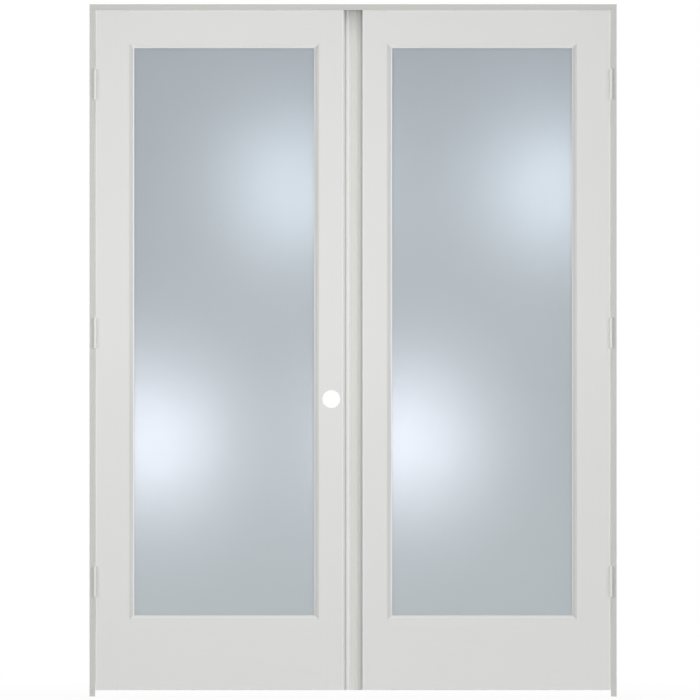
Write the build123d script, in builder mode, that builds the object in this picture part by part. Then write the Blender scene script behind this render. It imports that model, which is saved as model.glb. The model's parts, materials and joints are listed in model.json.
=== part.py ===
"""Pair of glazed french doors, hung in their own frame, ready to fix into a wall opening.

The left leaf is the active one and is bored for a lockset. The right leaf is the passive one: it carries
the moulded astragal that closes the space between the leaves, and two flush bolts hold it shut.
Millimetres, +X to the right, +Y away from the side that the leaves open to, +Z up.
The origin is on the floor, midway between the jambs and midway through their depth.
"""
import os
from math import radians, tan

from build123d import *

os.makedirs("parts", exist_ok=True)

# Frame
frame_width = 1575.0
jamb_thickness = 15.9
jamb_depth = 115.9
head_housing = 6.4
stop_thickness = 11.1
stop_width = 31.8
stop_edge_radius = 2.5
stop_foot = 32.0
stop_space = 1.2

# Leaves
leaf_height = 2032.0
leaf_thickness = 34.9
floor_space = 19.0
edge_space = 1.6
meeting_space = 56.5
edge_round = 1.5
hinge_stile_face = 101.7
meeting_stile_face = 74.0
top_rail_face = 99.7
bottom_rail_face = 210.0

# Moulding on the inner edges of stiles and rails
moulding_width = 14.5
quirk_depth = 2.5
ovolo_width = 9.5
ovolo_depth = 8.0
ovolo_bulge = 1.4
fillet_depth = 9.2
moulding_edge_depth = 9.8
moulding_lip = 3.0

# Glazing
tape_thickness = 1.0
tape_width = 10.0
glass_thickness = 4.0
glass_edge_space = 3.0
bead_clearance = 0.2
setting_block_length = 60.0
setting_block_place_shares = (0.25, 0.75)

# Mortise and tenon joints
tenon_length = 50.0
tenon_thickness = 12.0
tenon_shoulder = 20.0
tenon_clearance = 0.2
mortise_end_space = 2.0

# Lock preparation of the active leaf
lock_bore_diameter = 54.0
lock_bore_height = 888.6
lock_backset = 36.9
latch_bore_diameter = 25.4
latch_plate_length = 57.2
latch_plate_width = 25.4
latch_plate_depth = 3.5
meeting_bevel_deg = 3.0

# Astragal, measured across from the active leaf's front edge and back from the leaves' front faces
astragal_space = 1.5
groove_reach = 5.5
groove_depth = 9.0
nose_reach = 12.5
nose_depth = 4.0
flat_reach = 19.0
flat_width = 18.0
flat_depth = 11.0
land_step_run = 1.5
land_depth = 16.0
quirk_width = 5.5
side_quirk_depth = 25.0
strike_length = 57.2
strike_width = 14.0
strike_depth = 2.0
latch_pocket_length = 26.0
latch_pocket_width = 11.0
latch_pocket_depth = 14.0

# Butt hinges
hinge_height = 88.9
hinge_plate_thickness = 2.2
hinge_plate_reach = 29.9
hinge_knuckle_diameter = 10.8
hinge_pin_diameter = 6.3
hinge_pin_clearance = 0.08
hinge_pin_proud = 6.5
hinge_knuckle_gap = 0.4
hinge_knuckle_count = 3
hinge_head_diameter = 9.5
hinge_head_height = 2.4
hinge_mortise_clearance = 0.1
top_hinge_drop = 178.0
bottom_hinge_rise = 279.0

# Flush bolts
bolt_diameter = 9.5
bolt_travel = 16.0
bolt_clearance = 0.1
bolt_tip_chamfer = 1.0
bolt_inset = 12.5
bolt_plate_length = 150.0
bolt_plate_width = 19.0
bolt_plate_thickness = 2.5
bolt_plate_drop = 30.0
slide_length = 20.0
slide_width = 8.0
slide_recess = 0.6
slide_clearance = 0.4
thumb_groove_count = 3
thumb_groove_width = 2.0
thumb_groove_depth = 1.2
strike_plate_length = 50.0
strike_plate_width = 21.0
strike_plate_thickness = 2.0
strike_hole_clearance = 0.8

# Cuts run this far past the faces that they open
overrun = 5.0

# Places that follow from the sizes above
inner_half = frame_width / 2 - jamb_thickness
leaf_outer = inner_half - edge_space
leaf_inner = meeting_space / 2
leaf_bottom = floor_space
leaf_top = leaf_bottom + leaf_height
head_bottom = leaf_top + edge_space
frame_height = head_bottom + jamb_thickness
front = -jamb_depth / 2
leaf_middle = front + leaf_thickness / 2
stop_front = front + leaf_thickness + stop_space
moulding_back_depth = moulding_edge_depth + moulding_lip
glass_front_depth = moulding_back_depth + tape_thickness
glass_back_depth = glass_front_depth + glass_thickness
meeting_bevel = leaf_thickness * tan(radians(meeting_bevel_deg))
lock_bore_x = -leaf_inner - lock_backset

astragal_left = -leaf_inner + astragal_space
astragal_face_depth = (groove_depth + leaf_thickness) / 2

knuckle_radius = hinge_knuckle_diameter / 2
pin_radius = hinge_pin_diameter / 2
pin_x = inner_half - edge_space / 2
pin_y = front - hinge_pin_proud
plate_start = pin_y + knuckle_radius + hinge_knuckle_gap
plate_width = front + hinge_plate_reach - plate_start
knuckle_length = (hinge_height - (hinge_knuckle_count - 1) * hinge_knuckle_gap) / hinge_knuckle_count
top_hinge = leaf_top - top_hinge_drop - hinge_height / 2
bottom_hinge = leaf_bottom + bottom_hinge_rise + hinge_height / 2
hinge_places = {"upper": top_hinge, "middle": (top_hinge + bottom_hinge) / 2, "lower": bottom_hinge}
hinge_mortises = [(front - overrun, middle) for middle in hinge_places.values()]
mortise_reach = hinge_plate_reach + hinge_mortise_clearance + overrun
mortise_height = hinge_height + 2 * hinge_mortise_clearance

bolt_radius = bolt_diameter / 2
bolt_x = astragal_left + bolt_inset
bolt_y = front + astragal_face_depth

LEFT = -1
RIGHT = 1
SIDE_NAMES = {LEFT: "left", RIGHT: "right"}


def save(piece, label):
    """Name a finished piece and write it to its own file."""
    piece.part.label = label
    export_step(piece.part, f"parts/{label}.step")


def side_plane(x):
    """A plane that faces +X at x: its own x runs back through the door and its own y runs up."""
    return Plane(origin=(x, 0, 0), x_dir=(0, 1, 0), z_dir=(1, 0, 0))


def make_side_jamb(side):
    """A side jamb, housed for the head and mortised for its hinges."""
    inner = side * inner_half
    with BuildPart() as jamb:
        with BuildSketch(Plane.XY):
            with Locations((side * (frame_width - jamb_thickness) / 2, 0)):
                Rectangle(jamb_thickness, jamb_depth)
        extrude(amount=frame_height)
        with BuildSketch(Plane.XY.offset(head_bottom)):
            with Locations((inner, 0)):
                Rectangle(2 * head_housing, jamb_depth + overrun)
        extrude(amount=jamb_thickness + overrun, mode=Mode.SUBTRACT)
        with BuildSketch(side_plane(inner)):
            with Locations(*hinge_mortises):
                Rectangle(mortise_reach, mortise_height, align=(Align.MIN, Align.CENTER))
        extrude(amount=side * hinge_plate_thickness, mode=Mode.SUBTRACT)
    save(jamb, f"{SIDE_NAMES[side]}_jamb")


def make_head_jamb():
    """The head jamb, with the mortise and the hole for the upper flush bolt."""
    with BuildPart() as head:
        with BuildSketch(Plane.XY.offset(head_bottom)):
            Rectangle(2 * (inner_half + head_housing), jamb_depth)
        extrude(amount=jamb_thickness)
        with BuildSketch(Plane.XY.offset(head_bottom)):
            with Locations((bolt_x, bolt_y)):
                Rectangle(strike_plate_length, strike_plate_width)
        extrude(amount=strike_plate_thickness, mode=Mode.SUBTRACT)
        with BuildSketch(Plane.XY.offset(head_bottom)):
            with Locations((bolt_x, bolt_y)):
                Circle(bolt_radius + strike_hole_clearance)
        extrude(amount=jamb_thickness + overrun, mode=Mode.SUBTRACT)
    save(head, "head_jamb")


def make_strike_plate():
    """The plate that lines the upper bolt's hole in the head jamb."""
    with BuildPart() as plate:
        with BuildSketch(Plane.XY.offset(head_bottom)):
            with Locations((bolt_x, bolt_y)):
                Rectangle(strike_plate_length, strike_plate_width)
                Circle(bolt_radius + strike_hole_clearance, mode=Mode.SUBTRACT)
        extrude(amount=strike_plate_thickness)
    save(plate, "head_strike_plate")


def make_stops():
    """The three stops that the leaves close against: one up each jamb, and one along the head."""
    for side in (LEFT, RIGHT):
        with BuildPart() as stop:
            with BuildSketch(Plane.XY.offset(stop_foot)) as section:
                with Locations((side * (inner_half - stop_thickness / 2), stop_front + stop_width / 2)):
                    Rectangle(stop_thickness, stop_width)
                fillet(section.vertices().sort_by(Axis.X)[:: -side][:2], stop_edge_radius)
            extrude(amount=head_bottom - stop_thickness - stop_foot)
        save(stop, f"{SIDE_NAMES[side]}_stop")
    with BuildPart() as stop:
        with BuildSketch(side_plane(-inner_half)) as section:
            with Locations((stop_front + stop_width / 2, head_bottom - stop_thickness / 2)):
                Rectangle(stop_width, stop_thickness)
            fillet(section.vertices().sort_by(Axis.Z)[:2], stop_edge_radius)
        extrude(amount=2 * inner_half)
    save(stop, "head_stop")


def make_hinge(side, level, middle):
    """One butt hinge: the frame plate has the outer knuckles, and the door plate has the one between."""
    name = f"{SIDE_NAMES[side]}_{level}_hinge"
    low = middle - hinge_height / 2
    plates = {
        "frame_plate": (side * inner_half, side * hinge_plate_thickness, 0),
        "door_plate": (side * leaf_outer, -side * hinge_plate_thickness, 1),
    }
    for plate_name, (face, thickness, first) in plates.items():
        knuckles = range(first, hinge_knuckle_count, 2)
        bottoms = [low + i * (knuckle_length + hinge_knuckle_gap) for i in knuckles]
        with BuildPart() as plate:
            with BuildSketch(side_plane(face)):
                with Locations((plate_start, middle)):
                    Rectangle(plate_width, hinge_height, align=(Align.MIN, Align.CENTER))
            extrude(amount=thickness)
            with BuildSketch(*[Plane.XY.offset(bottom) for bottom in bottoms]):
                with Locations((side * pin_x, pin_y)):
                    Circle(knuckle_radius)
                tongue = plate_start + hinge_plate_thickness - pin_y
                with Locations((face + thickness / 2, pin_y + tongue / 2)):
                    Rectangle(hinge_plate_thickness, tongue)
                with Locations((side * pin_x, pin_y)):
                    Circle(pin_radius + hinge_pin_clearance, mode=Mode.SUBTRACT)
            extrude(amount=knuckle_length)
        save(plate, f"{name}_{plate_name}")
    with BuildPart() as pin:
        with BuildSketch(Plane.XY.offset(low)):
            with Locations((side * pin_x, pin_y)):
                Circle(pin_radius)
        extrude(amount=hinge_height)
        with BuildSketch(Plane.XY.offset(low + hinge_height)):
            with Locations((side * pin_x, pin_y)):
                Circle(hinge_head_diameter / 2)
        extrude(amount=hinge_head_height)
    save(pin, f"{name}_pin")


def leaf_places(side):
    """The x places of a leaf: its hinge edge, its two stiles' inner shoulders, and its meeting edge."""
    hinge_edge = side * leaf_outer
    meeting_edge = side * leaf_inner
    hinge_shoulder = hinge_edge - side * hinge_stile_face
    meeting_shoulder = meeting_edge + side * meeting_stile_face
    return hinge_edge, hinge_shoulder, meeting_shoulder, meeting_edge


def member_section(face, back_slope):
    """The section of a stile or rail: x runs in from its outer edge, y runs back from its front face.

    The outer edge leans in by back_slope at the back. The moulding in front of the glass rebate is an ovolo
    with a quirk on one side and a narrow fillet on the other.
    """
    ovolo_end = face + ovolo_width
    lip_end = face + moulding_width
    crown = (face + ovolo_width / 2, (quirk_depth + ovolo_depth) / 2 - ovolo_bulge)
    with BuildLine() as section:
        Line((edge_round, 0), (face, 0))
        Line((face, 0), (face, quirk_depth))
        ThreePointArc((face, quirk_depth), crown, (ovolo_end, ovolo_depth))
        Polyline((ovolo_end, ovolo_depth), (ovolo_end, fillet_depth), (lip_end, moulding_edge_depth),
                 (lip_end, moulding_back_depth), (face, moulding_back_depth), (face, leaf_thickness),
                 (back_slope + edge_round, leaf_thickness))
        Line((back_slope + edge_round, leaf_thickness), (back_slope, leaf_thickness - edge_round))
        Line((back_slope, leaf_thickness - edge_round), (0, edge_round))
        RadiusArc((0, edge_round), (edge_round, 0), edge_round)
    return section.line


def bead_section(face):
    """The section of a glazing bead, which fills the rebate behind the glass with the same moulding."""
    outer = face + bead_clearance
    ovolo_end = face + ovolo_width
    lip_end = face + moulding_width
    shoulder = leaf_thickness - quirk_depth
    ovolo_foot = leaf_thickness - ovolo_depth
    crown = ((outer + ovolo_end) / 2, (shoulder + ovolo_foot) / 2 + ovolo_bulge)
    with BuildLine() as section:
        Polyline((outer, shoulder), (outer, glass_back_depth), (lip_end, glass_back_depth),
                 (lip_end, leaf_thickness - moulding_edge_depth), (ovolo_end, leaf_thickness - fillet_depth),
                 (ovolo_end, ovolo_foot))
        ThreePointArc((ovolo_end, ovolo_foot), crown, (outer, shoulder))
    return section.line


def mitre_outline(face, setback):
    """What is cut from a moulding at the start of a member: all of it up to setback, then a mitre."""
    reach = moulding_width + overrun
    with BuildLine() as outline:
        Polyline((face, -overrun), (face + reach, -overrun), (face + reach, setback + reach),
                 (face, setback), close=True)
    return outline.line


def member_planes(start, inward, along, length):
    """Planes for a member: its section, and the mitres at its start and its end."""
    section = Plane(origin=start, x_dir=inward, z_dir=along)
    end = Vector(*start) + Vector(*along) * length
    first = Plane(origin=start, x_dir=inward, z_dir=Vector(*inward).cross(Vector(*along)))
    last = Plane(origin=end, x_dir=inward, z_dir=Vector(*along).cross(Vector(*inward)))
    return section, first, last


def stile_planes(outer_edge, inward_sign):
    """Planes of a stile, and how far its moulding stands back from its two ends.

    A stile's section is drawn from its lower end where inward is +X, and from its upper end where it is -X,
    so that depth always runs back from the front face.
    """
    if inward_sign > 0:
        start, setbacks = leaf_bottom, (bottom_rail_face, top_rail_face)
    else:
        start, setbacks = leaf_top, (top_rail_face, bottom_rail_face)
    planes = member_planes((outer_edge, front, start), (inward_sign, 0, 0), (0, 0, inward_sign), leaf_height)
    return planes, setbacks


def rail_planes(level, low_x, high_x):
    """Planes of a top or bottom rail between two stiles."""
    if level == "bottom":
        return member_planes((high_x, front, leaf_bottom), (0, 0, 1), (-1, 0, 0), high_x - low_x)
    return member_planes((low_x, front, leaf_top), (0, 0, -1), (1, 0, 0), high_x - low_x)


def tenon_heights(level):
    """The middle height and the width of a rail's tenons."""
    if level == "bottom":
        return leaf_bottom + bottom_rail_face / 2, bottom_rail_face - 2 * tenon_shoulder
    return leaf_top - top_rail_face / 2, top_rail_face - 2 * tenon_shoulder


def make_stile(label, outer_edge, inward_sign, face, back_slope, preparation=None):
    """A stile: moulded on its inner edge, mortised for the rails, and prepared for the hinges or the lock."""
    (section, first, last), setbacks = stile_planes(outer_edge, inward_sign)
    shoulder = outer_edge + inward_sign * face
    mortise_depth = tenon_length + mortise_end_space
    with BuildPart() as stile:
        with BuildSketch(section):
            make_face(member_section(face, back_slope).edges())
        extrude(amount=leaf_height)
        for plane, setback in zip((first, last), setbacks):
            with BuildSketch(plane):
                make_face(mitre_outline(face, setback).edges())
            extrude(amount=leaf_thickness + overrun, both=True, mode=Mode.SUBTRACT)
        for level in ("bottom", "top"):
            middle, width = tenon_heights(level)
            with BuildSketch(side_plane(shoulder)):
                with Locations((leaf_middle, middle)):
                    Rectangle(tenon_thickness + 2 * tenon_clearance, width + 2 * tenon_clearance)
            extrude(amount=-inward_sign * mortise_depth, mode=Mode.SUBTRACT)
        if preparation == "hinges":
            with BuildSketch(side_plane(outer_edge)):
                with Locations(*hinge_mortises):
                    Rectangle(mortise_reach, mortise_height, align=(Align.MIN, Align.CENTER))
            extrude(amount=inward_sign * hinge_plate_thickness, mode=Mode.SUBTRACT)
        if preparation == "lock":
            with BuildSketch(Plane.XZ.offset(-front + overrun)):
                with Locations((lock_bore_x, lock_bore_height)):
                    Circle(lock_bore_diameter / 2)
            extrude(amount=-(leaf_thickness + 2 * overrun), mode=Mode.SUBTRACT)
            with BuildSketch(side_plane(lock_bore_x)):
                with Locations((leaf_middle, lock_bore_height)):
                    Circle(latch_bore_diameter / 2)
            extrude(amount=lock_backset + overrun, mode=Mode.SUBTRACT)
            with BuildSketch(side_plane(outer_edge - latch_plate_depth)):
                with Locations((leaf_middle, lock_bore_height)):
                    Rectangle(latch_plate_width, latch_plate_length)
            extrude(amount=latch_plate_depth + overrun, mode=Mode.SUBTRACT)
    save(stile, label)


def make_rail(label, level, low_x, high_x, face):
    """A rail: moulded on its inner edge, mitred into the stiles' moulding, with a tenon at each end."""
    section, first, last = rail_planes(level, low_x, high_x)
    middle, width = tenon_heights(level)
    with BuildPart() as rail:
        with BuildSketch(section):
            make_face(member_section(face, 0).edges())
        extrude(amount=high_x - low_x)
        for plane in (first, last):
            with BuildSketch(plane):
                make_face(mitre_outline(face, 0).edges())
            extrude(amount=leaf_thickness + overrun, both=True, mode=Mode.SUBTRACT)
        with BuildSketch(side_plane(low_x - tenon_length)):
            with Locations((leaf_middle, middle)):
                Rectangle(tenon_thickness, width)
        extrude(amount=high_x - low_x + 2 * tenon_length)
    save(rail, label)


def make_bead(label, planes, length, face, setbacks):
    """A glazing bead along one side of the pane, mitred at both ends."""
    section, first, last = planes
    with BuildPart() as bead:
        with BuildSketch(section):
            make_face(bead_section(face).edges())
        extrude(amount=length)
        for plane, setback in zip((first, last), setbacks):
            with BuildSketch(plane):
                make_face(mitre_outline(face, setback).edges())
            extrude(amount=leaf_thickness + overrun, both=True, mode=Mode.SUBTRACT)
    save(bead, label)


def make_glazing(name, low_x, high_x):
    """The pane, the tape between it and the mouldings, and the blocks that it stands on."""
    width = high_x - low_x - 2 * glass_edge_space
    low_z = leaf_bottom + bottom_rail_face
    rebate_height = leaf_top - top_rail_face - low_z
    height = rebate_height - 2 * glass_edge_space
    centre = ((low_x + high_x) / 2, low_z + rebate_height / 2)
    with BuildPart() as glass:
        with BuildSketch(Plane.XZ.offset(-front - glass_front_depth)):
            with Locations(centre):
                Rectangle(width, height)
        extrude(amount=-glass_thickness)
    save(glass, f"{name}_frosted_glass")
    with BuildPart() as tape:
        with BuildSketch(Plane.XZ.offset(-front - moulding_back_depth)):
            with Locations(centre):
                Rectangle(width, height)
                Rectangle(width - 2 * tape_width, height - 2 * tape_width, mode=Mode.SUBTRACT)
        extrude(amount=-tape_thickness)
    save(tape, f"{name}_glazing_tape")
    with BuildPart() as blocks:
        with BuildSketch(Plane.XY.offset(low_z)):
            for place_share in setting_block_place_shares:
                place = low_x + place_share * (high_x - low_x)
                with Locations((place, front + glass_front_depth + glass_thickness / 2)):
                    Rectangle(setting_block_length, glass_thickness)
        extrude(amount=glass_edge_space)
    save(blocks, f"{name}_setting_blocks")


def make_leaf(side, name, meeting_name, back_slope, preparation=None):
    """All the pieces of one leaf."""
    hinge_edge, hinge_shoulder, meeting_shoulder, meeting_edge = leaf_places(side)
    low_x, high_x = sorted((hinge_shoulder, meeting_shoulder))
    make_stile(f"{name}_hinge_stile", hinge_edge, -side, hinge_stile_face, 0, "hinges")
    meeting_stile = f"{name}_{meeting_name}_stile"
    make_stile(meeting_stile, meeting_edge, side, meeting_stile_face, back_slope, preparation)
    make_rail(f"{name}_top_rail", "top", low_x, high_x, top_rail_face)
    make_rail(f"{name}_bottom_rail", "bottom", low_x, high_x, bottom_rail_face)
    make_glazing(name, low_x, high_x)
    stiles = {
        "hinge_side": (hinge_edge, -side, hinge_stile_face),
        f"{meeting_name}_side": (meeting_edge, side, meeting_stile_face),
    }
    for bead, (edge, inward_sign, face) in stiles.items():
        planes, setbacks = stile_planes(edge, inward_sign)
        make_bead(f"{name}_{bead}_bead", planes, leaf_height, face, setbacks)
    for level, face in (("top", top_rail_face), ("bottom", bottom_rail_face)):
        planes = rail_planes(level, low_x, high_x)
        make_bead(f"{name}_{level}_bead", planes, high_x - low_x, face, (0, 0))


def across(reach, depth):
    """A point of the astragal's section: reach from the active leaf's edge, depth from the front faces."""
    return (-leaf_inner + reach, front + depth)


def bolt_places(level):
    """The end that a flush bolt comes out of, the way it moves, and the middle of its plate."""
    end, way = (leaf_top, 1) if level == "upper" else (leaf_bottom, -1)
    return end, way, end - way * (bolt_plate_drop + bolt_plate_length / 2)


def make_astragal():
    """The strip between the leaves: nosing, flat, lower land and quirk in one milled section.

    Its left edge has the strike recess and latch pocket, and the flush bolts' mortises.
    """
    right = meeting_space
    land_start = flat_reach + flat_width + land_step_run
    land_end = right - quirk_width
    cavity_depth = bolt_inset + bolt_radius + bolt_clearance
    cavity_width = bolt_diameter + 2 * bolt_clearance
    with BuildPart() as astragal:
        with BuildSketch(Plane.XY.offset(leaf_bottom)):
            with BuildLine():
                Polyline(across(astragal_space, leaf_thickness), across(astragal_space, groove_depth),
                         across(groove_reach, groove_depth))
                ThreePointArc(across(groove_reach, groove_depth), across(nose_reach, nose_depth),
                              across(flat_reach, groove_depth))
                Polyline(across(flat_reach, groove_depth), across(flat_reach, flat_depth),
                         across(flat_reach + flat_width, flat_depth), across(land_start, land_depth),
                         across(land_end, land_depth),
                         across(land_end, side_quirk_depth), across(right, side_quirk_depth),
                         across(right, leaf_thickness), across(astragal_space, leaf_thickness))
            make_face()
        extrude(amount=leaf_height)
        with BuildSketch(side_plane(astragal_left)):
            with Locations((leaf_middle, lock_bore_height)):
                Rectangle(strike_width, strike_length)
        extrude(amount=strike_depth, mode=Mode.SUBTRACT)
        with BuildSketch(side_plane(astragal_left)):
            with Locations((leaf_middle, lock_bore_height)):
                Rectangle(latch_pocket_width, latch_pocket_length)
        extrude(amount=latch_pocket_depth, mode=Mode.SUBTRACT)
        for level in ("upper", "lower"):
            end, way, middle = bolt_places(level)
            with BuildSketch(side_plane(astragal_left)):
                with Locations((bolt_y, middle)):
                    Rectangle(bolt_plate_width, bolt_plate_length)
            extrude(amount=bolt_plate_thickness, mode=Mode.SUBTRACT)
            with BuildSketch(side_plane(astragal_left)):
                with Locations((bolt_y, middle)):
                    Rectangle(cavity_width, slide_length + bolt_travel + 2 * slide_clearance)
            extrude(amount=cavity_depth, mode=Mode.SUBTRACT)
            with BuildSketch(Plane.XY.offset(middle)):
                with Locations((bolt_x, bolt_y)):
                    Circle(bolt_radius + bolt_clearance)
            extrude(amount=end - middle + way * overrun, mode=Mode.SUBTRACT)
    save(astragal, "astragal")


def make_flush_bolt(level):
    """A flush bolt: the slotted face plate in the astragal's edge, and the bolt with its thumb slide."""
    end, way, middle = bolt_places(level)
    slot_length = slide_length + bolt_travel + 2 * slide_clearance
    slide_middle = middle - way * bolt_travel / 2
    slide_start = slide_middle - way * slide_length / 2
    slide_front = astragal_left + slide_recess
    with BuildPart() as plate:
        with BuildSketch(side_plane(astragal_left)):
            with Locations((bolt_y, middle)):
                Rectangle(bolt_plate_width, bolt_plate_length)
                Rectangle(slide_width + 2 * slide_clearance, slot_length, mode=Mode.SUBTRACT)
        extrude(amount=bolt_plate_thickness)
    save(plate, f"{level}_bolt_plate")
    with BuildPart() as bolt:
        with BuildSketch(Plane.XY.offset(slide_start)):
            with Locations((bolt_x, bolt_y)):
                Circle(bolt_radius)
        extrude(amount=end - slide_start)
        chamfer(bolt.edges().sort_by(Axis.Z)[-1 if way > 0 else 0], bolt_tip_chamfer)
        with BuildSketch(side_plane(slide_front)):
            with Locations((bolt_y, slide_middle)):
                Rectangle(slide_width, slide_length)
        extrude(amount=bolt_x - slide_front)
        with BuildSketch(side_plane(slide_front)):
            with Locations((bolt_y, slide_middle)):
                with GridLocations(0, slide_length / thumb_groove_count, 1, thumb_groove_count):
                    Rectangle(slide_width + overrun, thumb_groove_width)
        extrude(amount=thumb_groove_depth, mode=Mode.SUBTRACT)
    save(bolt, f"{level}_bolt")


for jamb_side in (LEFT, RIGHT):
    make_side_jamb(jamb_side)
    for hinge_level, hinge_middle in hinge_places.items():
        make_hinge(jamb_side, hinge_level, hinge_middle)
make_head_jamb()
make_strike_plate()
make_stops()
make_leaf(LEFT, "left_leaf", "lock", meeting_bevel, "lock")
make_leaf(RIGHT, "right_leaf", "meeting", 0)
make_astragal()
for bolt_level in ("upper", "lower"):
    make_flush_bolt(bolt_level)
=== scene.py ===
"""French doors in their frame: finishes, screws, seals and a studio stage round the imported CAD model."""
import json
from math import radians

import bmesh
import bpy
from mathutils import Matrix, Vector


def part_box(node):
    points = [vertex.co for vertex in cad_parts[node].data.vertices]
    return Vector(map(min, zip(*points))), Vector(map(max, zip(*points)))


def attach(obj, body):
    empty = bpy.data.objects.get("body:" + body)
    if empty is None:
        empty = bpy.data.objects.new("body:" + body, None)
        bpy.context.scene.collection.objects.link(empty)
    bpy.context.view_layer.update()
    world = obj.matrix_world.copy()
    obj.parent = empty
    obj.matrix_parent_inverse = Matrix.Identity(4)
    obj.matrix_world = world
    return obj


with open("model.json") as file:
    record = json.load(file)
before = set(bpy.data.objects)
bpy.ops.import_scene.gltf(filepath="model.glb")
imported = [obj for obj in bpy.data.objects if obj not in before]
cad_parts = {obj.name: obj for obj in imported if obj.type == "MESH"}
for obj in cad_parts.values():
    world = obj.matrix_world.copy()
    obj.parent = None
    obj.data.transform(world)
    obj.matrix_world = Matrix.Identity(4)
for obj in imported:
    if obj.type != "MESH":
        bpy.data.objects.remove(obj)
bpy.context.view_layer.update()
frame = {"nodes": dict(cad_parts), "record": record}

bl_info = {
    "name": "French doors",
    "version": (1, 0, 0),
    "blender": (4, 5, 0),
    "location": "View3D > Sidebar > French doors",
    "description": "Finishes, screws, seals and a studio stage for a pair of glazed doors in their frame",
    "category": "Object",
}

NODES = frame["nodes"]
SIDES = {"left": "active_leaf", "right": "passive_leaf"}
HINGE_LEVELS = ("upper", "middle", "lower")
BOLT_LEVELS = ("upper", "lower")

# Places read from the CAD nodes, in metres
JAMB_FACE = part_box("right_jamb")[0].x
LEAF_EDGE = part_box("right_leaf_hinge_stile")[1].x
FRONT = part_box("left_jamb")[0].y
LEAF_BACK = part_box("left_leaf_lock_stile")[1].y
LOCK_BORE = next(mount for mount in frame["record"]["mounts"] if mount["name"] == "lock_bore")

# Radius of the latch's bore, which runs from the lock bore to the leaf's edge
LATCH_BORE_RADIUS = 0.0127

# How many noise cells a metre of wood has across the grain and along it
GRAIN_ACROSS = 160.0
GRAIN_ALONG = 3.5
UPRIGHT_GRAIN = (GRAIN_ACROSS, GRAIN_ACROSS, GRAIN_ALONG)
LEVEL_GRAIN = (GRAIN_ALONG, GRAIN_ACROSS, GRAIN_ACROSS)

# How many brush lines a metre of steel has across them and along them
BRUSHING = (2600.0, 2600.0, 40.0)

# Sizes of the cells in foam and in rubber
FOAM_CELL = 0.0006
RUBBER_CELL = 0.0015

# How far the primer's tone drifts from its colour
PRIMER_DARKEST = 0.965
PRIMER_PALEST = 1.035

# Bands of painted highlight and painted shade across a moulding, from the pane's edge outwards
LIP_WIDTH = 0.004
HOLLOW_START = 0.009
MOULDING_WIDTH = 0.0145

# Bands of painted highlight and painted shade across the astragal, from its left edge
RIM_END = 0.0025
GROOVE_END = 0.0065
NOSE_END = 0.0130
FLAT_START = 0.0185
FLAT_END = 0.0368
LAND_START = 0.0385
QUIRK_START = 0.0495
QUIRK_END = 0.0560

# Width of the painted highlight along the leaves' edges, and how far a band of paint reaches past an edge
ARRIS_HIGHLIGHT_WIDTH = 0.004
BAND_MARGIN = 0.0005

# Painted shadow at the head of the astragal, under the head jamb: how dark it is, and how fast that fades in
# a metre
HEAD_SHADOW_SHARE = 0.5
HEAD_SHADOW_FADE = 30.0

# Each screw is turned further than the one before it by this angle in degrees
SCREW_TURN = 37

# Angles of the far lights in degrees
SIDE_TURN = 40
SIDE_FRONT_ELEVATION = 10
SIDE_FRONT_SOFTNESS = 30.0
BACK_ELEVATION = 15
GRAZING_ELEVATION = 80
FAR_LIGHT_SOFTNESS = 6.0

# The key lamp's place, what it is aimed at, and its size
KEY_PLACE = (-0.25, -1.8, 1.3)
KEY_AIM = (-0.25, 0, 1.3)
KEY_WIDTH = 1.8
KEY_HEIGHT = 0.8

# The lamps behind each pane: their places as shares of its width and height, and their colours
GLOWS = {"upper": (0.87, 0.755, (0.93, 0.965, 1.0)), "lower": (0.097, 0.3135, (1.0, 0.94, 1.0))}
GLOW_SPREAD = 90

# Sockets of a Mix node that mixes colours
MIX_FACTOR, MIX_FIRST, MIX_SECOND = 0, 6, 7
MIXED_COLOUR = 2


def slot_colour(slot):
    """The colour that the part's record gives a material slot."""
    return next(entry["base_color"][:3] for entry in frame["record"]["materials"] if entry["slot"] == slot)


def colour_setting(name, description, default):
    """A colour that the sidebar shows."""
    return bpy.props.FloatVectorProperty(
        name=name, description=description, subtype="COLOR", size=3, min=0, max=1, default=default)


def share_setting(name, description, default):
    """A number from 0 to 1 that the sidebar shows."""
    return bpy.props.FloatProperty(
        name=name, description=description, subtype="FACTOR", min=0, max=1, default=default)


def length_setting(name, description, default):
    """A length in metres that the sidebar shows."""
    return bpy.props.FloatProperty(
        name=name, description=description, subtype="DISTANCE", unit="LENGTH", default=default, precision=5)


def strength_setting(name, description, default):
    """The strength of a far light that the sidebar shows."""
    return bpy.props.FloatProperty(name=name, description=description, min=0, default=default)


def power_setting(name, description, default):
    """A lamp's power in watts that the sidebar shows."""
    return bpy.props.FloatProperty(name=name, description=description, unit="POWER", min=0, default=default)


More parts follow.
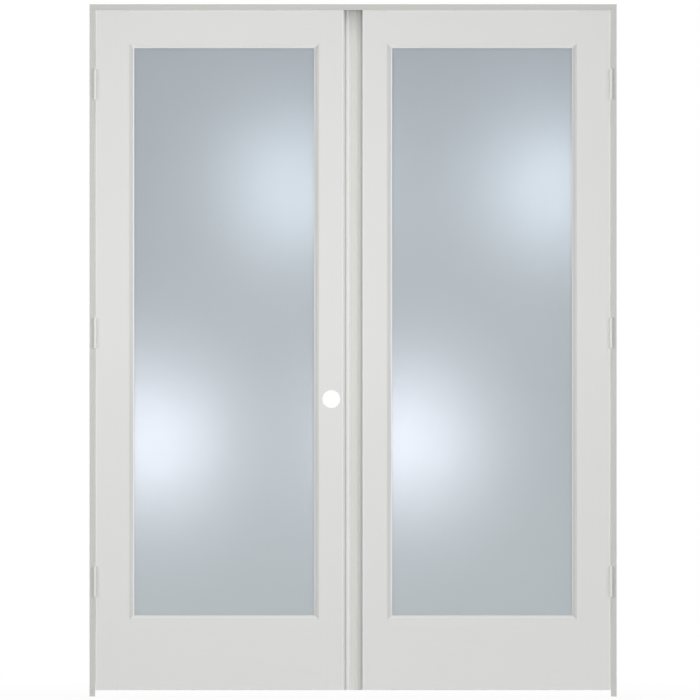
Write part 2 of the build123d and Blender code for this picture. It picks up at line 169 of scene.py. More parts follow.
class FinishSettings(bpy.types.PropertyGroup):
    """Colours and gloss of the doors' finishes."""

    leaf_paint: colour_setting(
        "Leaf primer", "Primer on stiles, rails, beads and stops", slot_colour("primed_leaf"))
    frame_paint: colour_setting("Frame primer", "Primer on the jambs", slot_colour("primed_frame"))
    astragal_paint: colour_setting(
        "Astragal primer", "Primer on the strip between the leaves", slot_colour("primed_astragal"))
    # painted highlight on the astragal's rounded nose
    nose_painted_highlight: colour_setting("Nose primer", "Primer on the astragal's rounded nose", (0.78, 0.78, 0.77))
    # painted shading on the astragal's rim, set against the shade at the slit
    rim_painted_shading: colour_setting("Rim primer", "Primer on the astragal's rim, at the slit", (0.73, 0.73, 0.72))
    # painted shade in the groove beside the nose
    groove_painted_shade: colour_setting(
        "Groove primer", "Thin primer in the groove beside the nose", (0.60, 0.60, 0.59))
    # painted highlight on the astragal's slopes
    slope_painted_highlight: colour_setting("Slope primer", "Thick primer on the astragal's slopes", (0.92, 0.92, 0.90))
    # painted shade on the astragal's set-back land
    land_painted_shade: colour_setting("Land primer", "Primer on the astragal's set-back land", (0.58, 0.58, 0.57))
    # painted shading in the quirk beside the land, set against its shade
    quirk_painted_shading: colour_setting(
        "Quirk primer", "Thin primer in the groove beside the land", (0.69, 0.69, 0.68))
    # painted highlight on the left mouldings' inner lips
    lip_painted_highlight: colour_setting("Lip primer", "Primer on the left mouldings' inner lips", (0.84, 0.84, 0.83))
    # painted shade in the left mouldings' outer hollows
    hollow_painted_shade: colour_setting(
        "Hollow primer", "Thin primer in the left mouldings' outer hollows", (0.67, 0.67, 0.66))
    # painted shade on the right mouldings
    right_moulding_painted_shade: colour_setting("Shade primer", "Thin primer on the right mouldings", (0.65, 0.65, 0.64))
    # painted highlight along the leaves' edges
    arris_painted_highlight: colour_setting("Arris primer", "Thick primer along the leaves' edges", (0.83, 0.83, 0.82))
    # painted shade on the mouldings under the panes
    sill_painted_shade: colour_setting("Sill primer", "Primer on the mouldings under the panes", (0.69, 0.69, 0.68))
    bare_wood: colour_setting("Bare wood", "Wood inside the bored holes", (0.52, 0.36, 0.20))
    # painted shade: a darker tint at the panes' upper ends
    glass_top_painted_shade: colour_setting(
        "Glass at the top", "Tint of the frosted panes' upper ends", (0.345, 0.380, 0.416))
    # painted light: a paler tint at the panes' lower ends
    glass_foot_painted_light: colour_setting(
        "Glass at the foot", "Tint of the frosted panes' lower ends", (0.442, 0.482, 0.503))
    tape: colour_setting("Glazing tape", "Foam tape round the panes", slot_colour("glazing_tape"))
    seal: colour_setting("Seals", "Foam seals beside the leaves", (0.80, 0.80, 0.79))
    block: colour_setting("Setting blocks", "Rubber blocks under the panes", slot_colour("setting_block"))
    hinge_paint: colour_setting("Hinge paint", "Paint on the hinges and their screws", (0.78, 0.78, 0.77))
    steel: colour_setting(
        "Satin steel", "Bolts, bolt plates, strike plate and their screws", slot_colour("satin_steel"))
    primer_roughness: share_setting("Primer roughness", "How matt the primer is", 0.5)
    frost: share_setting("Frost", "How much the etched panes scatter light", 0.6)


class ScrewSettings(bpy.types.PropertyGroup):
    """Sizes of the countersunk screws."""

    head_diameter: length_setting("Head diameter", "Across a screw's head", 0.008)
    head_height: length_setting("Head height", "How far a head stands above its plate", 0.0005)
    recess_depth: length_setting("Recess depth", "Depth of the cross recess", 0.0004)
    arm_width: length_setting("Recess arm width", "Width of an arm of the cross recess", 0.0012)
    arm_reach: length_setting("Recess reach", "From the middle of the cross to an arm's end", 0.0024)
    rim_round: length_setting("Rim rounding", "Rounding of the head's rim", 0.0002)


class SealSettings(bpy.types.PropertyGroup):
    """Sizes of the foam seals."""

    thickness: length_setting("Thickness", "How far a seal stands out of the wood", 0.0013)
    root: length_setting("Root", "How far a seal is let into the wood", 0.0002)
    width: length_setting("Width", "A seal's width, from front to back", 0.004)
    slit_set_back: length_setting(
        "Set back in the slit", "From the leaf's face to the astragal's seal", 0.0095)
    gap_set_back: length_setting("Set back in the gap", "From the leaf's face to the frame's seals", 0.001)
    foot_space: length_setting("Space below", "From the floor to the foot of the frame's seals", 0.030)


class StageSettings(bpy.types.PropertyGroup):
    """Camera, lamps and floor."""

    camera_distance: length_setting("Camera distance", "From the camera to the doors' front faces", 100.0)
    view_width: length_setting("View width", "What the square image spans at the front faces", 2.0916)
    aim_x: length_setting("Aim across", "Where the camera aims, from the middle of the doorway", -0.0092)
    aim_z: length_setting("Aim up", "Where the camera aims, from the floor", 1.0353)
    front_light: strength_setting("Front light", "Even light from far behind the camera", 0.5)
    side_front_light: strength_setting("Side front light", "Even light on the front from either side", 0.64)
    back_light: strength_setting("Back light", "Even light on the back from either side", 1.2)
    top_light: strength_setting("Top light", "Light that grazes the faces from above", 0.9)
    floor_light: strength_setting("Floor light", "Light that grazes the faces from below", 0.7)
    key_power: power_setting("Key lamp", "Lamp close in front of the doors", 6.6)
    upper_glow_power: power_setting("Upper glow", "Lamp behind the upper part of each pane", 0.180)
    lower_glow_power: power_setting("Lower glow", "Lamp behind the lower part of each pane", 0.24)
    glow_distance: length_setting("Glow distance", "From a pane to the lamps behind it", 1.0)
    glow_size: length_setting("Glow size", "Diameter of the lamps behind the panes", 0.3)
    side_light: share_setting("Light from the sides", "Soft light of the room near the horizon", 0.08)
    sky_light: share_setting("Light from above", "Soft light of the room overhead", 0.25)
    floor_tone: share_setting("Floor tone", "How pale the floor is", 0.4)


class Port:
    """A socket of a node tree. Sums on it add Math nodes, and node() adds a node of any other kind."""

    def __init__(self, tree, socket=None):
        self.tree = tree
        self.socket = socket

    def node(self, kind, settings=None, inputs=None, output=0):
        """Add a node: its settings first, then its inputs, each a value or another Port. Gives one output."""
        made = self.tree.nodes.new(kind)
        for name, value in (settings or {}).items():
            setattr(made, name, value)
        for name, value in (inputs or {}).items():
            if isinstance(value, Port):
                self.tree.links.new(value.socket, made.inputs[name])
            else:
                made.inputs[name].default_value = value
        return Port(self.tree, made.outputs[output] if made.outputs else None)

    def maths(self, operation, first, second=0.0):
        """A Math node on two numbers or Ports."""
        return self.node("ShaderNodeMath", {"operation": operation}, {0: first, 1: second})

    def __add__(self, other):
        return self.maths("ADD", self, other)

    __radd__ = __add__

    def __sub__(self, other):
        return self.maths("SUBTRACT", self, other)

    def __rsub__(self, other):
        return self.maths("SUBTRACT", other, self)

    def __mul__(self, other):
        return self.maths("MULTIPLY", self, other)

    __rmul__ = __mul__

    def __lt__(self, other):
        return self.maths("LESS_THAN", self, other)

    def __gt__(self, other):
        return self.maths("GREATER_THAN", self, other)

    def root(self):
        """The square root."""
        return self.maths("SQRT", self)

    def noise(self, scale, detail=2.0):
        """Noise on this place, from 0 to 1."""
        return self.node("ShaderNodeTexNoise", {}, {"Vector": self, "Scale": scale, "Detail": detail})

    def stretched(self, scale):
        """This place, with each axis scaled by itself."""
        return self.node("ShaderNodeMapping", {}, {"Vector": self, "Scale": scale})

    def along(self, axis):
        """One axis of this place."""
        return self.node("ShaderNodeSeparateXYZ", {}, {"Vector": self}, output=axis)

    def mix(self, first, second):
        """A colour between two others, by this factor."""
        inputs = {MIX_FACTOR: self, MIX_FIRST: first, MIX_SECOND: second}
        return self.node("ShaderNodeMix", {"data_type": "RGBA"}, inputs, output=MIXED_COLOUR)

    def vary(self, colour, darkest, palest):
        """A colour that goes from its darkest share to its palest, by this factor."""
        return self.mix(opaque(colour, darkest), opaque(colour, palest))

    def bump(self, strength, depth):
        """A normal for a surface whose height is this."""
        inputs = {"Height": self, "Strength": strength, "Distance": depth}
        return self.node("ShaderNodeBump", {}, inputs)


def opaque(colour, share=1.0):
    """A colour for a socket, with each part scaled by share."""
    return (*[part * share for part in colour], 1.0)


def start_material(name):
    """A new material with no nodes, and the place on the surface in object coordinates."""
    material = bpy.data.materials.new(name)
    material.use_nodes = True
    material.node_tree.nodes.clear()
    place = Port(material.node_tree).node("ShaderNodeTexCoord", output="Object")
    return material, place


def finish_material(material, inputs):
    """End a material in one surface shader."""
    surface = Port(material.node_tree).node("ShaderNodeBsdfPrincipled", {}, inputs)
    surface.node("ShaderNodeOutputMaterial", {}, {"Surface": surface})
    return material


def primer_material(name, colour, roughness, grain, bored=False, bands=(), across="X", head_shadow_top=None):
    """Sprayed primer on wood: grain that just shows, fine stipple, and slow drifts of tone and gloss.

    Where bored is set, the walls of the lock and latch bores show bare wood. Each band has another colour
    between two places on the axis named by across, which paints highlights and shade. Where there is a head
    shadow top, a painted shadow darkens the wood towards that height.
    """
    material, place = start_material(name)
    fibres = place.stretched(grain).noise(scale=1.0, detail=4.0)
    drift = place.noise(scale=2.2, detail=2.0)
    stipple = place.noise(scale=1400.0, detail=2.0)
    drift_share = 0.6
    tone = drift * drift_share + fibres * (1 - drift_share)
    shade = tone.vary(colour, PRIMER_DARKEST, PRIMER_PALEST)
    # painted highlights and shade, in bands across the surface
    for start, end, paint in bands:
        inside = (start < place.along(across)) * (place.along(across) < end)
        shade = inside.mix(shade, tone.vary(paint, PRIMER_DARKEST, PRIMER_PALEST))
    # painted shadow that darkens the wood towards the head
    if head_shadow_top is not None:
        shadow_nearness = place.maths("EXPONENT", (place.along("Z") - head_shadow_top) * HEAD_SHADOW_FADE)
        shade = (shadow_nearness * HEAD_SHADOW_SHARE).mix(shade, opaque((0, 0, 0)))
    fibre_gloss, stipple_gloss = 0.1, 0.06
    middle_gloss = roughness - (fibre_gloss + stipple_gloss) / 2
    gloss = middle_gloss + fibres * fibre_gloss + stipple * stipple_gloss
    if bored:
        bare = bore_walls(place)
        rings = place.stretched(grain).noise(scale=2.0, detail=6.0)
        wood = rings.vary(bpy.context.scene.door_finishes.bare_wood, darkest=0.7, palest=1.2)
        shade = bare.mix(shade, wood)
        added_roughness = 0.3
        gloss = gloss + bare * added_roughness
    fibre_share = 0.7
    relief = (fibres * fibre_share + stipple * (1 - fibre_share)).bump(strength=0.25, depth=0.0002)
    return finish_material(material, {"Base Color": shade, "Roughness": gloss, "Normal": relief})


def bore_walls(place):
    """1 on the walls of the lock bore and the latch bore, and 0 elsewhere."""
    bore_x, _, bore_z = LOCK_BORE["pos_m"]
    bore_radius = LOCK_BORE["dims"]["r_mm"] / 1000
    margin = 0.0002
    across = place.along("X") - bore_x
    depth = place.along("Y") - (FRONT + LEAF_BACK) / 2
    height = place.along("Z") - bore_z
    from_lock_axis = (across * across + height * height).root()
    from_latch_axis = (depth * depth + height * height).root()
    in_lock_bore = from_lock_axis < bore_radius + margin
    in_latch_bore = from_latch_axis < LATCH_BORE_RADIUS + margin
    towards_edge = 0 < across
    return in_lock_bore.maths("MAXIMUM", in_lock_bore, in_latch_bore * towards_edge)


def frosted_glass_material(name, foot, top, frost):
    """Etched glass: it blurs what is behind it, has a fine tooth, and a painted light makes it a little paler
    towards its foot.
    """
    material, place = start_material(name)
    cloud = place.noise(scale=3.0, detail=3.0)
    tooth = place.noise(scale=2400.0, detail=1.0)
    low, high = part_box("left_leaf_frosted_glass")
    # painted light: the tint is paler towards the pane's foot
    up_share = (place.along("Z") - low.z) * (1 / (high.z - low.z))
    cloud_share = 0.2
    shade = (up_share * (1 - cloud_share) + cloud * cloud_share).mix(opaque(foot), opaque(top))
    cloud_scatter, tooth_scatter = 0.05, 0.03
    middle_scatter = frost - (cloud_scatter + tooth_scatter) / 2
    scatter = middle_scatter + cloud * cloud_scatter + tooth * tooth_scatter
    relief = tooth.bump(strength=0.08, depth=0.0001)
    inputs = {"Base Color": shade, "Roughness": scatter, "Normal": relief,
              "Transmission Weight": 1.0, "IOR": 1.46}
    return finish_material(material, inputs)


def hinge_paint_material(name, colour):
    """Baked white paint on steel: a slight orange peel, and a little duller in patches."""
    material, place = start_material(name)
    patches = place.noise(scale=60.0, detail=3.0)
    peel = place.noise(scale=900.0, detail=1.0)
    shade = patches.vary(colour, darkest=0.96, palest=1.03)
    smoothest, patch_gloss = 0.3, 0.12
    gloss = smoothest + patches * patch_gloss
    relief = peel.bump(strength=0.2, depth=0.0001)
    return finish_material(material, {"Base Color": shade, "Roughness": gloss, "Normal": relief})


def satin_steel_material(name, colour):
    """Brushed steel: fine lines up and down, which vary the gloss and catch the light."""
    material, place = start_material(name)
    lines = place.stretched(BRUSHING).noise(scale=1.0, detail=3.0)
    patches = place.noise(scale=45.0, detail=2.0)
    shade = patches.vary(colour, darkest=0.92, palest=1.05)
    smoothest, line_gloss, patch_gloss = 0.26, 0.14, 0.05
    gloss = smoothest + lines * line_gloss + patches * patch_gloss
    relief = lines.bump(strength=0.12, depth=0.0001)
    inputs = {"Base Color": shade, "Roughness": gloss, "Normal": relief, "Metallic": 1.0}
    return finish_material(material, inputs)


def foam_material(name, colour, cell):
    """Foam or rubber: matt, with cells of a given size."""
    material, place = start_material(name)
    cells = place.noise(scale=1 / cell, detail=3.0)
    shade = cells.vary(colour, darkest=0.85, palest=1.1)
    smoothest, cell_gloss = 0.75, 0.2
    gloss = smoothest + cells * cell_gloss
    relief = cells.bump(strength=0.4, depth=cell)
    return finish_material(material, {"Base Color": shade, "Roughness": gloss, "Normal": relief})


def give(material, names):
    """Put one material on the CAD nodes of these names."""
    for name in names:
        mesh = NODES[name].data
        mesh.materials.clear()
        mesh.materials.append(material)


def ending(*endings):
    """The names of the CAD nodes that end in one of these words."""
    return [name for name in NODES if name.endswith(endings)]


def screw_mesh():
    """One countersunk head with a cross recess, on z = 0 and facing +Z."""
    screws = bpy.context.scene.door_screws
    arm_half = screws.arm_width / 2
    head = bmesh.new()
    bmesh.ops.create_circle(head, cap_ends=True, segments=32, radius=screws.head_diameter / 2)
    for axis in (Vector((1, 0, 0)), Vector((0, 1, 0))):
        for offset in (-screws.arm_reach, -arm_half, arm_half, screws.arm_reach):
            geometry = head.verts[:] + head.edges[:] + head.faces[:]
            bmesh.ops.bisect_plane(head, geom=geometry, plane_co=axis * offset, plane_no=axis)
    bmesh.ops.translate(head, verts=head.verts[:], vec=(0, 0, screws.head_height))
    rim = [edge for edge in head.edges if edge.is_boundary]
    skirt = bmesh.ops.extrude_edge_only(head, edges=rim)["geom"]
    skirt_verts = [item for item in skirt if isinstance(item, bmesh.types.BMVert)]
    bmesh.ops.translate(head, verts=skirt_verts, vec=(0, 0, -screws.head_height))
    cross = []
    for face in head.faces:
        middle = face.calc_center_median()
        near, far = sorted((abs(middle.x), abs(middle.y)))
        if near < arm_half and far < screws.arm_reach and middle.z > screws.head_height / 2:
            cross.append(face)
    taper = screws.arm_width / 6
    bmesh.ops.inset_region(head, faces=cross, thickness=taper, depth=-screws.recess_depth)
    rim = [edge for edge in rim if edge.is_valid]
    bmesh.ops.bevel(head, geom=rim, offset=screws.rim_round, segments=2, affect="EDGES", profile=0.5,
                    material=-1)
    bmesh.ops.recalc_face_normals(head, faces=head.faces[:])
    mesh = bpy.data.meshes.new("screw_head")
    head.to_mesh(mesh)
    head.free()
    return mesh


def add_screws(name, seats, material, body):
    """One piece that holds a screw head on each seat: a point on a plate's face and the way that it faces."""
    head = screw_mesh()
    group = bmesh.new()
    for index, (point, way) in enumerate(seats):
        facing = Vector(way).to_track_quat("Z", "Y").to_matrix().to_4x4()
        turn = Matrix.Rotation(radians(SCREW_TURN * index), 4, "Z")
        already = set(group.verts)
        group.from_mesh(head)
        new_verts = [vert for vert in group.verts if vert not in already]
        bmesh.ops.transform(group, matrix=Matrix.Translation(point) @ facing @ turn, verts=new_verts)
    mesh = bpy.data.meshes.new(name)
    group.to_mesh(mesh)
    group.free()
    bpy.data.meshes.remove(head)
    mesh.materials.append(material)
    piece = bpy.data.objects.new(name, mesh)
    bpy.context.scene.collection.objects.link(piece)
    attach(piece, body)


def named_material(name):
    """A material that an earlier operator made."""
    material = bpy.data.materials.get(name)
    if material is None:
        raise RuntimeError(f"the finish {name} comes before this step")
    return material


class FRENCHDOORS_OT_paint_woodwork(bpy.types.Operator):
    """Prime the leaves, the frame and the astragal"""

    bl_idname = "frenchdoors.paint_woodwork"
    bl_label = "Paint woodwork"

    def execute(self, context):
        finishes = context.scene.door_finishes
        rough = finishes.primer_roughness
        upright = primer_material("leaf_primer_upright", finishes.leaf_paint, rough, UPRIGHT_GRAIN)
        level = primer_material("leaf_primer_level", finishes.leaf_paint, rough, LEVEL_GRAIN)
        leaf_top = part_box("left_leaf_top_rail")[1].z
        # painted highlight along the leaves' top edges
        top_highlight_bands = [(leaf_top - ARRIS_HIGHLIGHT_WIDTH, leaf_top + BAND_MARGIN, finishes.arris_painted_highlight)]
        top = primer_material("leaf_primer_top_painted_highlight", finishes.leaf_paint, rough, LEVEL_GRAIN, bands=top_highlight_bands,
                              across="Z")
        # painted highlights and shade on the stiles' edges and mouldings
        moulding_light_and_shade = self.moulding_painted_light_bands(finishes)
        stile = primer_material("leaf_primer_stile_painted_shading", finishes.leaf_paint, rough, UPRIGHT_GRAIN, bands=moulding_light_and_shade)
        bored = primer_material("leaf_primer_bored_painted_shading", finishes.leaf_paint, rough, UPRIGHT_GRAIN, bored=True,
                                bands=moulding_light_and_shade)
        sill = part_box("left_leaf_bottom_rail")[1].z
        # painted shade on the mouldings under the panes
        sill_shade_bands = [(sill - MOULDING_WIDTH, sill + BAND_MARGIN, finishes.sill_painted_shade)]
        foot = primer_material("leaf_primer_foot_painted_shade", finishes.leaf_paint, rough, LEVEL_GRAIN, bands=sill_shade_bands,
                               across="Z")
        give(upright, [*ending("side_bead"), "left_stop", "right_stop"])
        give(level, [*ending("top_bead", "bottom_bead"), "head_stop"])
        give(top, ending("top_rail"))
        give(stile, ending("stile"))
        give(bored, ["left_leaf_lock_stile"])
        give(foot, ending("bottom_rail"))
        jamb = primer_material("frame_primer_upright", finishes.frame_paint, rough, UPRIGHT_GRAIN)
        head = primer_material("frame_primer_level", finishes.frame_paint, rough, LEVEL_GRAIN)
        give(jamb, ["left_jamb", "right_jamb"])
        give(head, ["head_jamb"])
        # painted highlights and shade across the astragal, and a painted shadow under the head
        low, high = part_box("astragal")
        strip = primer_material("astragal_primer_painted_shading", finishes.astragal_paint, rough, UPRIGHT_GRAIN,
                                bands=self.astragal_painted_light_bands(finishes, low.x), head_shadow_top=high.z)
        give(strip, ["astragal"])
        return {"FINISHED"}

    def astragal_painted_light_bands(self, finishes, left):
        """Painted highlights and shade across the astragal from its left edge, in bands for a primer."""
        bands = ((-BAND_MARGIN, RIM_END, finishes.rim_painted_shading),
                 (RIM_END, GROOVE_END, finishes.groove_painted_shade),
                 (GROOVE_END, NOSE_END, finishes.nose_painted_highlight),
                 (NOSE_END, FLAT_START, finishes.slope_painted_highlight),
                 (FLAT_END, LAND_START, finishes.slope_painted_highlight),
                 (LAND_START, QUIRK_START, finishes.land_painted_shade),
                 (QUIRK_START, QUIRK_END, finishes.quirk_painted_shading))
        return [(left + start, left + end, paint) for start, end, paint in bands]

    def moulding_painted_light_bands(self, finishes):
        """Painted highlights along the stiles' edges, and painted highlights and shade on the mouldings
        beside the panes, in bands for a primer.
        """
        left_edges = (-LEAF_EDGE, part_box("right_leaf_meeting_stile")[0].x)
        right_edges = (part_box("left_leaf_lock_stile")[1].x, LEAF_EDGE)
        # painted highlights along the leaves' edges
        bands = [(edge - BAND_MARGIN, edge + ARRIS_HIGHLIGHT_WIDTH, finishes.arris_painted_highlight) for edge in left_edges]
        bands += [(edge - ARRIS_HIGHLIGHT_WIDTH, edge + BAND_MARGIN, finishes.arris_painted_highlight) for edge in right_edges]
        # painted highlight on the left mouldings' lips, painted shade in their hollows
        for name in ("left_leaf_hinge_stile", "right_leaf_meeting_stile"):
            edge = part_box(name)[1].x
            bands.append((edge - MOULDING_WIDTH, edge - HOLLOW_START, finishes.hollow_painted_shade))
            bands.append((edge - LIP_WIDTH, edge + BAND_MARGIN, finishes.lip_painted_highlight))
        # painted shade on the right mouldings
        for name in ("left_leaf_lock_stile", "right_leaf_hinge_stile"):
            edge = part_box(name)[0].x
            bands.append((edge - BAND_MARGIN, edge + MOULDING_WIDTH, finishes.right_moulding_painted_shade))
        return bands


class FRENCHDOORS_OT_glaze_leaves(bpy.types.Operator):
    """Frost the panes, and finish their tape and setting blocks"""

    bl_idname = "frenchdoors.glaze_leaves"
    bl_label = "Glaze leaves"

    def execute(self, context):
        finishes = context.scene.door_finishes
        glass = frosted_glass_material(
            "frosted_glass", finishes.glass_foot_painted_light, finishes.glass_top_painted_shade, finishes.frost)
        give(glass, ending("frosted_glass"))
        give(foam_material("glazing_tape", finishes.tape, FOAM_CELL), ending("glazing_tape"))
        give(foam_material("setting_block_rubber", finishes.block, RUBBER_CELL), ending("setting_blocks"))
        return {"FINISHED"}


class FRENCHDOORS_OT_finish_hardware(bpy.types.Operator):
    """Paint the hinges, and brush the bolts and plates"""

    bl_idname = "frenchdoors.finish_hardware"
    bl_label = "Finish hardware"

    def execute(self, context):
        finishes = context.scene.door_finishes
        hinges = [name for name in NODES if "_hinge_" in name and not name.endswith(("stile", "bead"))]
        give(hinge_paint_material("hinge_paint", finishes.hinge_paint), hinges)
        bolts = [*ending("_bolt", "bolt_plate"), "head_strike_plate"]
        give(satin_steel_material("satin_steel", finishes.steel), bolts)
        return {"FINISHED"}


class FRENCHDOORS_OT_add_hinge_screws(bpy.types.Operator):
    """Put three screws in each hinge plate"""

    bl_idname = "frenchdoors.add_hinge_screws"
    bl_label = "Add hinge screws"

    def execute(self, context):
        paint = named_material("hinge_paint")
        place_shares = ((0.62, 0.14), (0.36, 0.5), (0.62, 0.86))
        frame_seats = []
        for side, leaf_body in SIDES.items():
            sign = -1 if side == "left" else 1
            leaf_seats = []
            for level in HINGE_LEVELS:
                low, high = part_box(f"{side}_{level}_hinge_door_plate")
                for across_share, up_share in place_shares:
                    y = FRONT + across_share * (high.y - FRONT)
                    z = low.z + up_share * (high.z - low.z)
                    frame_seats.append((Vector((sign * JAMB_FACE, y, z)), (-sign, 0, 0)))
                    leaf_seats.append((Vector((sign * LEAF_EDGE, y, z)), (sign, 0, 0)))
            add_screws(f"{leaf_body}_hinge_screws", leaf_seats, paint, leaf_body)
        add_screws("frame_hinge_screws", frame_seats, paint, "frame")
        return {"FINISHED"}


class FRENCHDOORS_OT_add_plate_screws(bpy.types.Operator):
    """Put screws in the astragal, the flush bolts' plates and the strike plate"""

    bl_idname = "frenchdoors.add_plate_screws"
    bl_label = "Add plate screws"

    def execute(self, context):
        steel = named_material("satin_steel")
        end_space = 0.009
        seat_depth = 0.0065
        astragal_shares = (0.13, 0.315, 0.5, 0.685, 0.87)
        low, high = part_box("astragal")
        seats = []
        for share in astragal_shares:
            place = Vector((low.x, high.y - seat_depth, low.z + share * (high.z - low.z)))
            seats.append((place, (-1, 0, 0)))
        add_screws("astragal_screws", seats, steel, "passive_leaf")
        seats = []
        for level in BOLT_LEVELS:
            low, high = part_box(f"{level}_bolt_plate")
            for z in (low.z + end_space, high.z - end_space):
                seats.append((Vector((low.x, (low.y + high.y) / 2, z)), (-1, 0, 0)))
        add_screws("bolt_plate_screws", seats, steel, "passive_leaf")
        low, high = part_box("head_strike_plate")
        seats = []
        for x in (low.x + end_space, high.x - end_space):
            seats.append((Vector((x, (low.y + high.y) / 2, low.z)), (0, 0, -1)))
        add_screws("strike_plate_screws", seats, steel, "frame")
        return {"FINISHED"}


def add_seal(name, boxes, material, body):
    """One piece of straight seal strips, each between two corners, with its long edges rounded."""
    strips = bmesh.new()
    for low, high in boxes:
        size = high - low
        made = bmesh.ops.create_cube(strips, size=1)["verts"]
        bmesh.ops.scale(strips, verts=made, vec=size)
        bmesh.ops.translate(strips, verts=made, vec=(low + high) / 2)
        edge_round = min(size) / 4
        nearly_all = 0.99 * max(size)
        edges = {edge for vert in made for edge in vert.link_edges if edge.calc_length() > nearly_all}
        bmesh.ops.bevel(strips, geom=list(edges), offset=edge_round, segments=3, affect="EDGES",
                        profile=0.5, material=-1)
    mesh = bpy.data.meshes.new(name)
    strips.to_mesh(mesh)
    strips.free()
    mesh.materials.append(material)
    piece = bpy.data.objects.new(name, mesh)
    bpy.context.scene.collection.objects.link(piece)
    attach(piece, body)


class FRENCHDOORS_OT_add_seals(bpy.types.Operator):
    """Put seals in the slit beside the astragal and in the gaps between the leaves and the frame"""

    bl_idname = "frenchdoors.add_seals"
    bl_label = "Add seals"

    def execute(self, context):
        seals = context.scene.door_seals
        foam = foam_material("seal_foam", context.scene.door_finishes.seal, FOAM_CELL)
        low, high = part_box("astragal")
        leaf_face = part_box("left_leaf_lock_stile")[0].y
        front = leaf_face + seals.slit_set_back
        slit = (Vector((low.x - seals.thickness, front, low.z)),
                Vector((low.x + seals.root, front + seals.width, high.z)))
        add_seal("meeting_seal", [slit], foam, "passive_leaf")
        front = leaf_face + seals.gap_set_back
        back = front + seals.width
        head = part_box("head_jamb")[0].z
        foot = seals.foot_space
        boxes = []
        for sign in (-1, 1):
            ends = sorted((sign * (JAMB_FACE + seals.root), sign * (JAMB_FACE - seals.thickness)))
            boxes.append((Vector((ends[0], front, foot)), Vector((ends[1], back, head))))
        boxes.append((Vector((-JAMB_FACE, front, head - seals.thickness)),
                      Vector((JAMB_FACE, back, head + seals.root))))
        add_seal("frame_seals", boxes, foam, "frame")
        return {"FINISHED"}


def add_lamp(name, place, aim, size, power, height=None, through_panes=True):
    """A soft area lamp that the camera doesn't see: round, or a rectangle where it has a height.

    Where through_panes is off, its light doesn't show through the panes.
    """
    lamp = bpy.data.lights.new(name, "AREA")
    lamp.energy = power
    lamp.size = size
    lamp.shape = "DISK"
    if height is not None:
        lamp.shape = "RECTANGLE"
        lamp.size_y = height
    holder = bpy.data.objects.new(name, lamp)
    holder.location = place
    holder.rotation_euler = (Vector(aim) - Vector(place)).to_track_quat("-Z", "Y").to_euler()
    holder.visible_camera = False
    holder.visible_transmission = through_panes
    bpy.context.scene.collection.objects.link(holder)
    return lamp


def add_far_light(name, turn, elevation, strength, softness=FAR_LIGHT_SOFTNESS, through_panes=True):
    """Parallel light from a turn to the right of the front and an elevation above the horizon, in degrees.

    Where through_panes is off, its light doesn't show through the panes.
    """
    lamp = bpy.data.lights.new(name, "SUN")
    lamp.energy = strength
    lamp.angle = radians(softness)
    holder = bpy.data.objects.new(name, lamp)
    holder.rotation_euler = (radians(90 - elevation), 0, radians(turn))
    holder.visible_transmission = through_panes
    bpy.context.scene.collection.objects.link(holder)


def seen_directly(tree):
    """1 for a ray from the camera, also by way of metal or glass, and 0 for light that falls on something."""
    path = Port(tree)
    kinds = ("Camera", "Glossy", "Transmission")
    rays = [path.node("ShaderNodeLightPath", output=f"Is {kind} Ray") for kind in kinds]
    either = path.maths("MAXIMUM", rays[0], rays[1])
    return path.maths("MAXIMUM", either, rays[2])


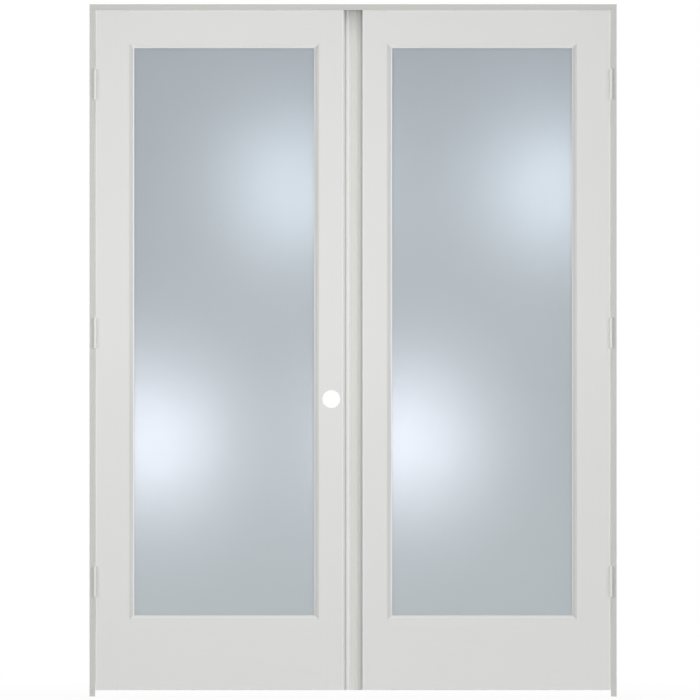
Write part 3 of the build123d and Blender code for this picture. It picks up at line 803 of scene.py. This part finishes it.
class FRENCHDOORS_OT_set_stage(bpy.types.Operator):
    """Set the floor, the room's light, the lamps and the camera"""

    bl_idname = "frenchdoors.set_stage"
    bl_label = "Set stage"

    def execute(self, context):
        stage = context.scene.door_stage
        self.add_floor(stage)
        self.light_room(context.scene, stage)
        self.add_lamps(stage)
        self.add_camera(context.scene, stage)
        context.scene.view_settings.view_transform = "Standard"
        return {"FINISHED"}

    def add_floor(self, stage):
        """A pale floor that reads as white, apart from a faint shadow near the doors."""
        half = 60.0
        fade_in_a_metre = 0.25
        shadow_share = 0.04
        sheet = bmesh.new()
        bmesh.ops.create_grid(sheet, x_segments=1, y_segments=1, size=half)
        mesh = bpy.data.meshes.new("floor")
        sheet.to_mesh(mesh)
        sheet.free()
        floor = bpy.data.objects.new("floor", mesh)
        bpy.context.scene.collection.objects.link(floor)
        floor.visible_shadow = False
        material, place = start_material("floor")
        tone = opaque((stage.floor_tone,) * 3)
        matt = place.node("ShaderNodeBsdfDiffuse", {}, {"Color": tone})
        white = place.node("ShaderNodeEmission", {}, {"Color": opaque((1, 1, 1)), "Strength": 1.0})
        far = place.node("ShaderNodeVectorMath", {"operation": "LENGTH"}, {0: place}, output="Value")
        near = 1 - far.maths("SMOOTH_MIN", far * fade_in_a_metre, 1.0)
        whiteness = seen_directly(material.node_tree) * (1 - near * shadow_share)
        surface = place.node("ShaderNodeMixShader", {}, {0: whiteness, 1: matt, 2: white})
        place.node("ShaderNodeOutputMaterial", {}, {"Surface": surface})
        mesh.materials.append(material)

    def light_room(self, scene, stage):
        """A white surround, whose light is stronger from above than from the sides."""
        world = bpy.data.worlds.new("studio")
        world.use_nodes = True
        world.node_tree.nodes.clear()
        way = Port(world.node_tree).node("ShaderNodeTexCoord", output="Generated")
        up = way.along("Z")
        soft = stage.side_light + (stage.sky_light - stage.side_light) * (up * up)
        seen = seen_directly(world.node_tree)
        level = soft + seen * (1 - soft)
        surround = way.node("ShaderNodeBackground", {}, {"Color": level, "Strength": 1.0})
        way.node("ShaderNodeOutputWorld", {}, {"Surface": surround})
        scene.world = world

    def add_lamps(self, stage):
        """Far lights all round, a key lamp in front, and two lamps that glow through each pane."""
        add_far_light("front", 0, 0, stage.front_light, through_panes=False)
        add_far_light("top", 0, GRAZING_ELEVATION, stage.top_light)
        add_far_light("floor_bounce", 0, -GRAZING_ELEVATION, stage.floor_light)
        for side, turn in (("left", -SIDE_TURN), ("right", SIDE_TURN)):
            add_far_light(f"{side}_front", turn, SIDE_FRONT_ELEVATION, stage.side_front_light,
                          softness=SIDE_FRONT_SOFTNESS, through_panes=False)
            add_far_light(f"{side}_back", 180 - turn, BACK_ELEVATION, stage.back_light)
        add_lamp("key", KEY_PLACE, KEY_AIM, KEY_WIDTH, stage.key_power, height=KEY_HEIGHT,
                 through_panes=False)
        powers = {"upper": stage.upper_glow_power, "lower": stage.lower_glow_power}
        for side in SIDES:
            low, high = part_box(f"{side}_leaf_frosted_glass")
            for level, (across_share, up_share, colour) in GLOWS.items():
                x = low.x + across_share * (high.x - low.x)
                z = low.z + up_share * (high.z - low.z)
                place = (x, high.y + stage.glow_distance, z)
                lamp = add_lamp(f"{side}_{level}_glow", place, (x, high.y, z), stage.glow_size, powers[level])
                lamp.spread = radians(GLOW_SPREAD)
                lamp.color = colour

    def add_camera(self, scene, stage):
        """A long lens, straight in front."""
        reach = 10 * stage.camera_distance
        lens = bpy.data.cameras.new("camera")
        lens.lens = lens.sensor_width * stage.camera_distance / stage.view_width
        lens.clip_end = reach
        camera = bpy.data.objects.new("camera", lens)
        camera.location = (stage.aim_x, FRONT - stage.camera_distance, stage.aim_z)
        camera.rotation_euler = (radians(90), 0, 0)
        scene.collection.objects.link(camera)
        scene.camera = camera


STEPS = (
    FRENCHDOORS_OT_paint_woodwork,
    FRENCHDOORS_OT_glaze_leaves,
    FRENCHDOORS_OT_finish_hardware,
    FRENCHDOORS_OT_add_hinge_screws,
    FRENCHDOORS_OT_add_plate_screws,
    FRENCHDOORS_OT_add_seals,
    FRENCHDOORS_OT_set_stage,
)


class FRENCHDOORS_PT_sidebar(bpy.types.Panel):
    """The doors' settings and steps"""

    bl_idname = "FRENCHDOORS_PT_sidebar"
    bl_label = "French doors"
    bl_space_type = "VIEW_3D"
    bl_region_type = "UI"
    bl_category = "French doors"

    def draw(self, context):
        for group, kind in SETTINGS.items():
            box = self.layout.box()
            for name in kind.__annotations__:
                box.prop(getattr(context.scene, group), name)
        for step in STEPS:
            self.layout.operator(step.bl_idname)


SETTINGS = {"door_finishes": FinishSettings, "door_screws": ScrewSettings, "door_seals": SealSettings,
            "door_stage": StageSettings}
CLASSES = (*SETTINGS.values(), *STEPS, FRENCHDOORS_PT_sidebar)


def register():
    """Register the classes and put the settings on the scene."""
    for kind in CLASSES:
        bpy.utils.register_class(kind)
    for name, kind in SETTINGS.items():
        setattr(bpy.types.Scene, name, bpy.props.PointerProperty(type=kind))


def unregister():
    """Take the settings off the scene and the classes out of Blender."""
    for name in SETTINGS:
        delattr(bpy.types.Scene, name)
    for kind in reversed(CLASSES):
        bpy.utils.unregister_class(kind)


def main():
    """Build everything in order."""
    register()
    bpy.ops.frenchdoors.paint_woodwork()
    bpy.ops.frenchdoors.glaze_leaves()
    bpy.ops.frenchdoors.finish_hardware()
    bpy.ops.frenchdoors.add_hinge_screws()
    bpy.ops.frenchdoors.add_plate_screws()
    bpy.ops.frenchdoors.add_seals()
    bpy.ops.frenchdoors.set_stage()


if __name__ == "__main__":
    main()
